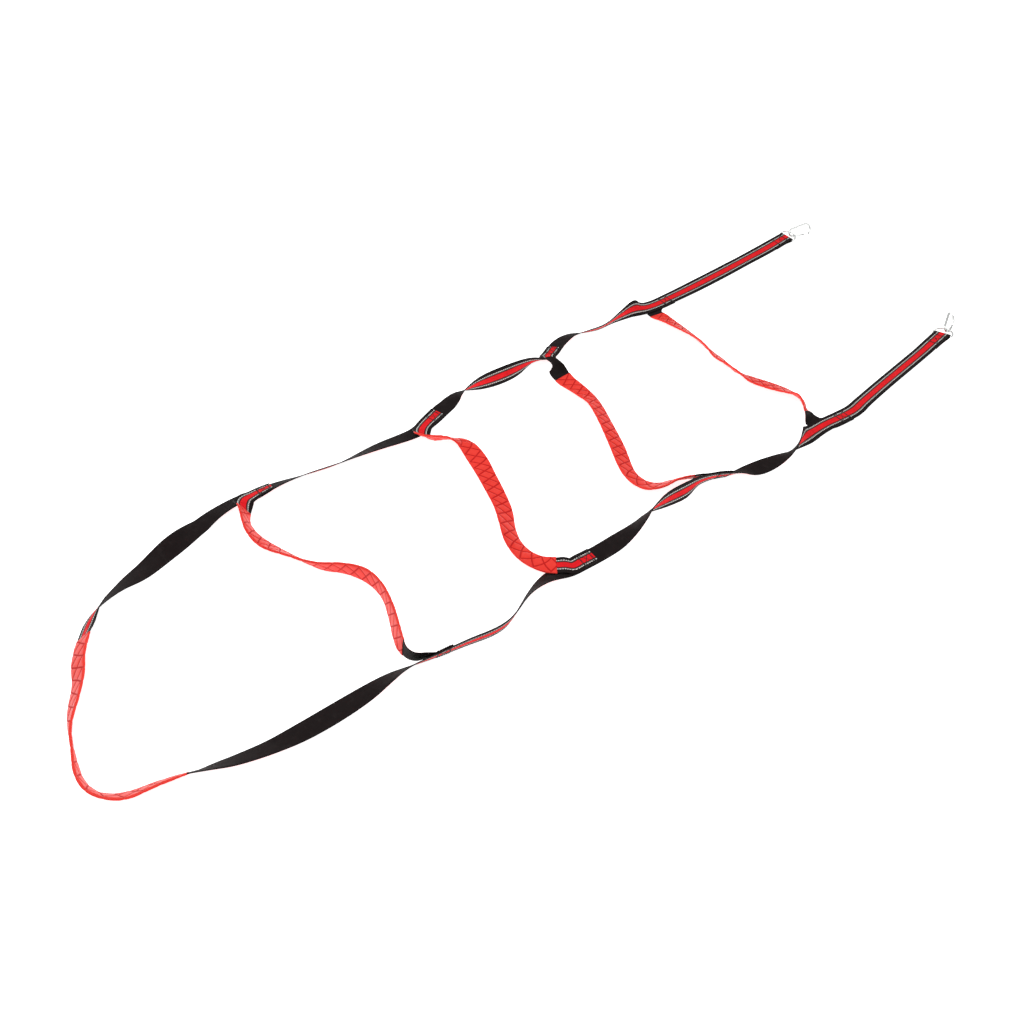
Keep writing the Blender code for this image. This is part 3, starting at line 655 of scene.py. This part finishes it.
def webMaterial():
    made, tree, shader = newMaterial("stripedWebbing")
    uv = node(tree, "ShaderNodeUVMap", uv_map="strapWay").outputs[0]
    parts = node(tree, "ShaderNodeSeparateXYZ", {0: uv})
    across, along = parts.outputs[0], parts.outputs[1]
    back = maths(tree, "GREATER_THAN", across, 0.5)
    out = maths(tree, "ABSOLUTE", across)
    weave = useGroup(tree, weaveGroup, {"Vector": uv, "Rib": 0.0016, "Yarn": 0.0019})
    fine = useGroup(tree, weaveGroup, {"Vector": uv, "Rib": 0.0009, "Yarn": 0.0011})
    wear = useGroup(tree, wearGroup, {"Vector": uv, "Scale": 45.0, "Amount": 0.6})
    # painted shade from the weave: each colour darkens in the yarn hollows and lightens on the raised yarn; the grain
    # part is random tone
    black = mixed(tree, weave.outputs["HollowShadeAndGrain"], webLook["black"], webLook["blackLitYarnTop"])
    silver = mixed(tree, fine.outputs["HollowShadeAndGrain"], webLook["silverHollowShade"], webLook["silver"])
    red = mixed(tree, fine.outputs["HollowShadeAndGrain"], webLook["redHollowShade"], webLook["red"])
    redEdge = softStep(tree, out, webLook["redHalf"] - 0.0004, webLook["redHalf"] + 0.0002)
    redMask = maths(tree, "SUBTRACT", 1.0, redEdge)
    silverMask = band(tree, out, webLook["silverFrom"], webLook["silverTo"])
    dash = maths(tree, "FRACT", maths(tree, "DIVIDE", along, webLook["stitchPitch"]))
    dashMask = maths(tree, "LESS_THAN", dash, 0.66)
    offset = maths(tree, "ABSOLUTE", maths(tree, "SUBTRACT", out, webLook["stitchAt"]))
    rowMask = maths(tree, "SUBTRACT", 1.0, softStep(tree, offset, 0.0005, 0.0008))
    stitchMask = maths(tree, "MULTIPLY", dashMask, rowMask)
    colour = mixed(tree, silverMask, black, silver)
    colour = mixed(tree, redMask, colour, red)
    colour = mixed(tree, stitchMask, colour, webLook["stitch"])
    colour = mixed(tree, back, colour, black)
    dusty = mixed(tree, maths(tree, "MULTIPLY", wear.outputs["Mask"], 0.05), colour, (0.30, 0.26, 0.25, 1))
    tree.links.new(dusty, shader.inputs["Base Color"])
    front = maths(tree, "SUBTRACT", 1.0, back)
    gloss = maths(tree, "MULTIPLY", maths(tree, "MULTIPLY", silverMask, front), -0.33)
    rough = maths(tree, "ADD", maths(tree, "MULTIPLY_ADD", wear.outputs["Mask"], 0.15, 0.70), gloss)
    tree.links.new(rough, shader.inputs["Roughness"])
    raised = maths(tree, "MULTIPLY", maths(tree, "MULTIPLY", stitchMask, front), 1.6)
    height = maths(tree, "ADD", weave.outputs["Height"], raised)
    bump = node(tree, "ShaderNodeBump", {"Strength": 0.55, "Distance": 0.00035, "Height": height})
    tree.links.new(bump.outputs[0], shader.inputs["Normal"])
    shader.inputs["Specular IOR Level"].default_value = 0.10
    return made


# The line colour is partly the seam's darker red and partly painted crease shade.
sleeveLook = {
    "red": (0.80, 0.028, 0.019, 1), "redHigh": (0.86, 0.056, 0.038, 1), "line": (0.50, 0.004, 0.004, 1),
}


def sleeveMaterial():
    made, tree, shader = newMaterial("quiltedReflectiveRed")
    uv = node(tree, "ShaderNodeUVMap", uv_map="strapWay").outputs[0]
    parts = node(tree, "ShaderNodeSeparateXYZ", {0: uv})

    wrapped = node(tree, "ShaderNodeMath", {0: parts.outputs[0], 1: 0.5, 2: -0.5}, operation="WRAP").outputs[0]
    out = maths(tree, "ABSOLUTE", wrapped)
    along = parts.outputs[1]
    want = maths(tree, "SUBTRACT", maths(tree, "PINGPONG", along, 2 * sleeveShape["quilt"]), sleeveShape["quilt"])
    want = maths(tree, "ABSOLUTE", maths(tree, "MULTIPLY", want, sleeveShape["reach"] / sleeveShape["quilt"]))
    away = maths(tree, "ABSOLUTE", maths(tree, "SUBTRACT", out, want))
    away = maths(tree, "MULTIPLY", away, sleeveShape["slope"])
    # The sewn channels: the narrow line is partly the seam's darker red and partly painted crease shade; the wide soft
    # band is painted shade on the slopes into each channel.
    line = maths(tree, "SUBTRACT", 1.0, softStep(tree, away, 0.0009, 0.0017))
    soft = maths(tree, "SUBTRACT", 1.0, softStep(tree, away, 0.0004, 0.0036))
    cell = node(tree, "ShaderNodeTexVoronoi", {"Vector": uv, "Scale": 900.0}, feature="F1")
    wear = useGroup(tree, wearGroup, {"Vector": uv, "Scale": 38.0, "Amount": 0.7})
    colour = mixed(tree, wear.outputs["Height"], sleeveLook["red"], sleeveLook["redHigh"])
    # painted shade along the quilt channels and their slopes
    colour = mixed(tree, maths(tree, "MULTIPLY", soft, 0.25), colour, sleeveLook["line"])
    colour = mixed(tree, maths(tree, "MULTIPLY", line, 0.85), colour, sleeveLook["line"])
    tree.links.new(colour, shader.inputs["Base Color"])
    rough = maths(tree, "MULTIPLY_ADD", wear.outputs["Mask"], 0.18, 0.40)
    rough = maths(tree, "MULTIPLY_ADD", line, 0.3, rough)
    tree.links.new(rough, shader.inputs["Roughness"])
    beads = maths(tree, "MULTIPLY", cell.outputs["Distance"], 0.25)
    height = maths(tree, "SUBTRACT", beads, maths(tree, "MULTIPLY", line, 0.7))
    height = maths(tree, "ADD", height, maths(tree, "MULTIPLY", wear.outputs["Height"], 1.4))
    bump = node(tree, "ShaderNodeBump", {"Strength": 0.5, "Distance": 0.0005, "Height": height})
    tree.links.new(bump.outputs[0], shader.inputs["Normal"])
    shader.inputs["Specular IOR Level"].default_value = 0.15
    return made


def threadMaterial():
    made, tree, shader = newMaterial("blackThread")
    place = node(tree, "ShaderNodeTexCoord").outputs["Object"]
    strands = {"Vector": place, "Scale": 900.0, "Distortion": 2.0}
    twist = node(tree, "ShaderNodeTexWave", strands, bands_direction="DIAGONAL")
    # painted shade: the twist grooves are darker and the raised strands lighter
    colour = mixed(tree, twist.outputs["Fac"], (0.004, 0.003, 0.003, 1), (0.014, 0.011, 0.011, 1))
    tree.links.new(colour, shader.inputs["Base Color"])
    tree.links.new(maths(tree, "MULTIPLY_ADD", twist.outputs["Fac"], 0.15, 0.5), shader.inputs["Roughness"])
    bump = node(tree, "ShaderNodeBump", {"Strength": 0.4, "Distance": 0.0002, "Height": twist.outputs["Fac"]})
    tree.links.new(bump.outputs[0], shader.inputs["Normal"])
    return made


def steelMaterial(name, colour, dark, rough):
    made, tree, shader = newMaterial(name)
    place = node(tree, "ShaderNodeTexCoord").outputs["Object"]
    wear = useGroup(tree, wearGroup, {"Vector": place, "Scale": 140.0, "Amount": 0.8})
    scratch = node(tree, "ShaderNodeTexNoise", {"Vector": node(
        tree, "ShaderNodeMapping", {0: place, 3: (300.0, 2200.0, 900.0)}).outputs[0], "Scale": 1.0, "Detail": 4.0})
    colourOut = mixed(tree, wear.outputs["Mask"], colour, dark)
    tree.links.new(colourOut, shader.inputs["Base Color"])
    roughOut = maths(tree, "MULTIPLY_ADD", wear.outputs["Mask"], 0.22, rough)
    roughOut = maths(tree, "MULTIPLY_ADD", scratch.outputs[0], 0.10, roughOut)
    tree.links.new(roughOut, shader.inputs["Roughness"])
    bump = node(tree, "ShaderNodeBump", {"Strength": 0.12, "Distance": 0.0002, "Height": scratch.outputs[0]})
    tree.links.new(bump.outputs[0], shader.inputs["Normal"])
    shader.inputs["Metallic"].default_value = 1.0
    return made


webFinish = webMaterial()
sleeveFinish = sleeveMaterial()
threadFinish = threadMaterial()
zincFinish = steelMaterial("brightZinc", (0.74, 0.75, 0.74, 1), (0.42, 0.43, 0.42, 1), 0.16)
springFinish = steelMaterial("plainSteel", (0.50, 0.50, 0.49, 1), (0.22, 0.21, 0.20, 1), 0.28)
print("finishes ready")

# The straps.
rail, sleeveSpan = layMain()
back = round(webbing["loopOverlap"] / webbing["station"])
leftBar, leftTurn = loopOf(rail[0], -1)
rightBar, rightTurn = loopOf(rail[-1], 1)
leftUnder = underLayer(rail[1:back + 1], 2 * webbing["barToWeb"])
rightUnder = underLayer(rail[-2:-back - 2:-1], 2 * webbing["barToWeb"])
railFine = finer(rail, webbing["fineParts"])


def underRun(turn, under):  # the folded-back layer, which starts where the turn ends
    return finer([turn[-1]] + under, webbing["fineParts"])[1:]


def reversedRun(stations):
    return [{**s, "ahead": -s["ahead"]} for s in reversed(stations)]


leftRun = reversedRun(leftTurn + underRun(leftTurn, leftUnder))
wholeRun = leftRun + railFine + rightTurn + underRun(rightTurn, rightUnder)
mainStrap = strapPiece("mainStrap", centred(wholeRun), webFinish)
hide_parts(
    "left_rail_top_web", "left_rail_upper_web", "left_rail_middle_web", "left_rail_lower_web",
    "left_rail_bottom_web", "bottom_step_web", "right_rail_bottom_web", "right_rail_lower_web",
    "right_rail_middle_web", "right_rail_upper_web", "right_rail_top_web",
)
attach(mainStrap, "ladder")

stepRuns = []
for spec in steps:
    stations, span = layStep(rail, spec)
    run = finer(stations, webbing["fineParts"])
    piece = strapPiece(spec["name"] + "Strap", centred(run), webFinish)
    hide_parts(spec["cad"] + "_web")
    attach(piece, "ladder")
    stepRuns.append((spec, stations, span))
print("straps laid")

# The quilted sleeves.
sleeves = [("bottomSleeve", "bottom_step_sleeve", rail[sleeveSpan[0]:sleeveSpan[1]])]
sleeves += [
    (spec["name"] + "Sleeve", spec["cad"] + "_sleeve", stations[a:b]) for spec, stations, (a, b) in stepRuns
]
for name, cadNode, stations in sleeves:
    piece = sleevePiece(name, centred(stations), sleeveFinish)
    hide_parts(cadNode)
    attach(piece, "ladder")
    print(name, "runs", round(alongOf(stations)[-1], 3), "m")
print("sleeves made")

# Box stitching on every tab and folded end.
upper, lower = webbing["thick"] / 2 + 0.0001, -(webbing["layer"] + webbing["thick"] / 2 + 0.0001)
sewing = bmesh.new()
for spec, _, _ in stepRuns:
    leftPatch = centred(rail[spec["leaveAt"] - spec["tabs"][0]:spec["leaveAt"] + 1])
    rightPatch = centred(rail[spec["meetAt"]:spec["meetAt"] + spec["tabs"][1] + 1])
    margin = threadShape["margin"]
    sewBox(sewing, leftPatch, margin, margin + threadShape["box"], (upper, lower))
    rightEnd = alongOf(rightPatch)[-1] - margin
    sewBox(sewing, rightPatch, rightEnd - threadShape["box"], rightEnd, (upper, lower))
leftFold = centred(rail[:back + 2])
rightFold = centred(list(rail[-back - 2:]))
sewBox(sewing, leftFold, 0.012, 0.012 + 0.034, (upper, lower))
rightLength = alongOf(rightFold)[-1]
sewBox(sewing, rightFold, rightLength - 0.012 - 0.034, rightLength - 0.012, (upper, lower))
bmesh.ops.recalc_face_normals(sewing, faces=sewing.faces)
boxStitching = newPiece("boxStitching", sewing, threadFinish)
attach(boxStitching, "ladder")
print("stitching sewn")

# Rings and snap hooks.
hookShape = {
    "wire": 0.003, "small": 0.0095, "big": 0.0135, "span": 0.041, "roll": 50.0, "lift": 0.0118, "tilt": 3.2,
    "ringInHook": 0.0020, "headings": {"left": -17.0, "right": 21.0}, "hingeAt": 0.004, "pinRadius": 0.0010, "headAt": 0.0035,
}
ringShape = {"wire": 0.002, "halfWidth": 0.022, "depth": 0.020, "square": 0.8, "weld": 0.00035}


def deselectAll():
    if bpy.context.object and bpy.context.object.mode != "OBJECT":
        bpy.ops.object.mode_set(mode="OBJECT")
    bpy.ops.object.select_all(action="DESELECT")


def onlySelect(obj):
    deselectAll()
    obj.select_set(True)
    bpy.context.view_layer.objects.active = obj


def finishSteel(obj, look, angle=40):
    obj.data.materials.clear()
    obj.data.materials.append(look)
    onlySelect(obj)
    bpy.ops.object.shade_smooth_by_angle(angle=math.radians(angle))


def bentWire(name, points, sizes, depth, closed=False):  # a wire along the points, thick as the sizes say
    curve = bpy.data.curves.new(name, "CURVE")
    curve.dimensions = "3D"
    curve.bevel_depth = depth
    curve.bevel_resolution = 6
    curve.use_fill_caps = not closed
    line = curve.splines.new("POLY")
    line.points.add(len(points) - 1)
    line.use_cyclic_u = closed
    for spot, point, size in zip(line.points, points, sizes):
        spot.co = (*point, 1)
        spot.radius = size
    obj = bpy.data.objects.new(name, curve)
    bpy.context.scene.collection.objects.link(obj)
    onlySelect(obj)
    bpy.ops.object.convert(target="MESH")
    bpy.ops.object.mode_set(mode="EDIT")
    bpy.ops.mesh.select_all(action="SELECT")
    bpy.ops.mesh.remove_doubles(threshold=1e-6)
    bpy.ops.mesh.normals_make_consistent(inside=False)
    bpy.ops.object.mode_set(mode="OBJECT")
    return bpy.context.object


def arcPoints(centre, radius, start, end, count):
    return [Vector((
        centre + radius * math.cos(math.radians(start + (end - start) * k / count)),
        radius * math.sin(math.radians(start + (end - start) * k / count)), 0,
    )) for k in range(count + 1)]


hookLean = math.degrees(math.asin((hookShape["big"] - hookShape["small"]) / hookShape["span"]))


def gateSide(along):  # a point on the straight line from the small arc to the large one
    tilt = math.radians(hookLean)
    start = Vector((-hookShape["small"] * math.sin(tilt), -hookShape["small"] * math.cos(tilt), 0))
    return start + Vector((math.cos(tilt), -math.sin(tilt), 0)) * along


def hookPlace(side, end, bar):
    out = -end["ahead"] if side == "left" else end["ahead"]
    rise = math.asin((hookShape["lift"] - bar.z) / ringShape["depth"] / end["normal"].z)
    bow = bar + (out * math.cos(rise) + end["normal"] * math.sin(rise)) * ringShape["depth"]
    turn = (
        Matrix.Rotation(math.radians(hookShape["headings"][side]), 4, "Z")
        @ Matrix.Rotation(math.radians(-hookShape["tilt"]), 4, "Y")
        @ Matrix.Rotation(math.radians(hookShape["roll"]), 4, "X")
    )
    return bow, Matrix.Translation(centring + bow + turn @ Vector((hookShape["ringInHook"], 0, 0))) @ turn


def buildRing(side, end, bar, bow):
    across, half = end["side"], ringShape["halfWidth"]
    spots = [bar - across * half + across * (2 * half * k / 10) for k in range(10)]
    sizes = [1.0] * 10
    for k in range(1, 40):
        turn = math.radians(90 - 4.5 * k)
        reach = (bow - bar) * math.cos(turn) ** ringShape["square"]
        spots.append(bar + reach + across * half * math.sin(turn))
        weld = ringShape["weld"] / ringShape["wire"] * max(0.0, 1 - abs(k - 5) / 2.2)
        sizes.append(1.0 + weld)
    spots.insert(10, bar + across * half)
    sizes.insert(10, 1.0)
    ring = bentWire(side + "Ring", [p + centring for p in spots], sizes, ringShape["wire"], True)
    finishSteel(ring, zincFinish)
    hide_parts(side + "_d_ring")
    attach(ring, side + "_ring")


def buildHookBody(side, place):
    tongue = [gateSide(d) for d in (0.0062, 0.0058, 0.0045, 0.0030, 0.0015, 0.0003, -0.0010)]
    small = arcPoints(0, hookShape["small"], -90 - hookLean, -270 + hookLean, 26)
    bigStart = arcPoints(hookShape["span"], hookShape["big"], 90 + hookLean, 0, 1)[0]
    spine = [small[-1].lerp(bigStart, k / 6) for k in range(1, 6)]
    big = arcPoints(hookShape["span"], hookShape["big"], 90 + hookLean, -90 - hookLean + 14, 34)
    points = tongue + small[1:] + spine + big
    sizes = [0.45, 0.62, 0.76, 0.77, 0.77, 0.78, 0.93] + [1.0] * (len(points) - 7)
    sizes[-3:] = [0.97, 0.86, 0.62]
    body = bentWire(side + "HookBody", points, sizes, hookShape["wire"])
    bpy.ops.object.mode_set(mode="EDIT")
    bpy.ops.mesh.select_all(action="DESELECT")
    bpy.ops.object.mode_set(mode="OBJECT")
    root, ahead = gateSide(0), (gateSide(1) - gateSide(0)).normalized()
    for vert in body.data.vertices:  # the flat tongue that the gate's fork closes round
        out = vert.co - root
        vert.select = out.dot(ahead) > -0.0002 and out.cross(ahead).length < 0.0035
    bpy.ops.object.mode_set(mode="EDIT")
    bpy.ops.transform.resize(value=(1, 1, 0.55), center_override=(0, 0, 0))
    bpy.ops.object.mode_set(mode="OBJECT")
    body.data.transform(place)
    finishSteel(body, zincFinish)
    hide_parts(side + "_hook_body")
    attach(body, side + "_hook")


def buildPin(side, place):
    hinge = gateSide(hookShape["hingeAt"])
    deselectAll()
    bpy.ops.mesh.primitive_cylinder_add(
        vertices=24, radius=hookShape["pinRadius"], depth=2 * hookShape["headAt"], location=hinge)
    pin = bpy.context.object
    pin.name = side + "HingePin"
    bpy.ops.object.transform_apply(location=True, rotation=True, scale=True)
    for way in (-1, 1):  # each end is spread into a low dome
        bpy.ops.object.mode_set(mode="EDIT")
        bpy.ops.mesh.select_all(action="DESELECT")
        bpy.ops.object.mode_set(mode="OBJECT")
        for face in pin.data.polygons:
            face.select = face.normal.z * way > 0.9
        bpy.ops.object.mode_set(mode="EDIT")
        for size, step in ((1.45, 0.0), (1.10, 0.00018), (0.86, 0.00022), (0.5, 0.00014)):
            bpy.ops.mesh.extrude_region_move(TRANSFORM_OT_translate={"value": (0, 0, step * way)})
            bpy.ops.transform.resize(value=(size, size, 1), center_override=(hinge.x, hinge.y, 0))
        bpy.ops.object.mode_set(mode="OBJECT")
    pin.data.transform(place)
    finishSteel(pin, springFinish, 55)
    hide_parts(side + "_hinge_pin")
    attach(pin, side + "_hook")


def bevelledCopy(cadNode, name, body, look, width):
    obj = bpy.data.objects.new(name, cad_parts[cadNode].data.copy())
    obj.data.name = name
    bpy.context.scene.collection.objects.link(obj)
    onlySelect(obj)
    bpy.ops.object.mode_set(mode="EDIT")
    bpy.ops.mesh.select_all(action="SELECT")
    bpy.ops.mesh.remove_doubles(threshold=1e-6)
    bpy.ops.mesh.dissolve_limited(angle_limit=math.radians(2))
    bpy.ops.object.mode_set(mode="OBJECT")
    if width:
        edge = obj.modifiers.new("softEdge", "BEVEL")
        edge.width = width
        edge.segments = 2
        edge.limit_method = "ANGLE"
        edge.angle_limit = math.radians(50)
        bpy.ops.object.modifier_apply(modifier="softEdge")
    finishSteel(obj, look)
    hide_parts(cadNode)
    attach(obj, body)


for side in ("left", "right"):
    end, bar = (rail[0], leftBar) if side == "left" else (rail[-1], rightBar)
    bow, place = hookPlace(side, end, bar)
    buildRing(side, end, bar, bow)
    buildHookBody(side, place)
    buildPin(side, place)
    bevelledCopy(side + "_gate", side + "Gate", side + "_gate", zincFinish, 0.00025)
    bevelledCopy(side + "_plunger", side + "Plunger", side + "_gate", springFinish, 0.0002)
    bevelledCopy(side + "_gate_spring", side + "GateSpring", side + "_gate", springFinish, 0)
print("hooks finished")

# Floor and light.
studio = {
    "floor": (0.93, 0.93, 0.93, 1), "key": 36.0, "fill": 12.0, "world": 0.72, "floorGlow": 0.85, "horizon": 0.12,
}


def buildStudio():
    bpy.ops.object.select_all(action="DESELECT")
    bpy.ops.mesh.primitive_plane_add(size=30, location=(0, 0, 0))
    floor = bpy.context.object
    floor.name = "studioFloor"
    made, tree, shader = newMaterial("palePaper")
    place = node(tree, "ShaderNodeTexCoord").outputs["Object"]
    grain = node(tree, "ShaderNodeTexNoise", {"Vector": place, "Scale": 3.0, "Detail": 2.0})
    tree.links.new(mixed(tree, grain.outputs[0], studio["floor"], (0.95, 0.95, 0.95, 1)), shader.inputs["Base Color"])
    shader.inputs["Roughness"].default_value = 0.9
    shader.inputs["Specular IOR Level"].default_value = 0.1
    shader.inputs["Emission Color"].default_value = (1, 1, 1, 1)
    shader.inputs["Emission Strength"].default_value = studio["floorGlow"]
    floor.data.materials.append(made)
    world = bpy.data.worlds.new("studioWorld")
    bpy.context.scene.world = world
    world.use_nodes = True
    sky = world.node_tree.nodes["Background"]
    way = node(world.node_tree, "ShaderNodeTexCoord").outputs["Generated"]
    rise = node(world.node_tree, "ShaderNodeSeparateXYZ", {0: way}).outputs[2]
    dark = band(world.node_tree, rise, 0.02, 0.30, 0.06)  # a dark strip for the steel to mirror
    level = (studio["horizon"],) * 3 + (1,)
    seen = node(world.node_tree, "ShaderNodeLightPath").outputs["Is Camera Ray"]
    mirrored = mixed(world.node_tree, dark, (1, 1, 1, 1), level)
    world.node_tree.links.new(mixed(world.node_tree, seen, mirrored, (1.4, 1.4, 1.4, 1)), sky.inputs[0])
    sky.inputs[1].default_value = studio["world"]
    for name, place, turn, size, power in (
        ("keyLight", (-0.6, 1.0, 2.6), (-22, -12, 0), 2.6, studio["key"]),
        ("fillLight", (1.6, -1.8, 2.2), (38, 34, 0), 2.2, studio["fill"]),
    ):
        data = bpy.data.lights.new(name, "AREA")
        data.shape = "DISK"
        data.size = size
        data.energy = power
        lamp = bpy.data.objects.new(name, data)
        bpy.context.scene.collection.objects.link(lamp)
        lamp.location = place
        lamp.rotation_euler = [math.radians(a) for a in turn]


buildStudio()
bpy.context.view_layer.update()
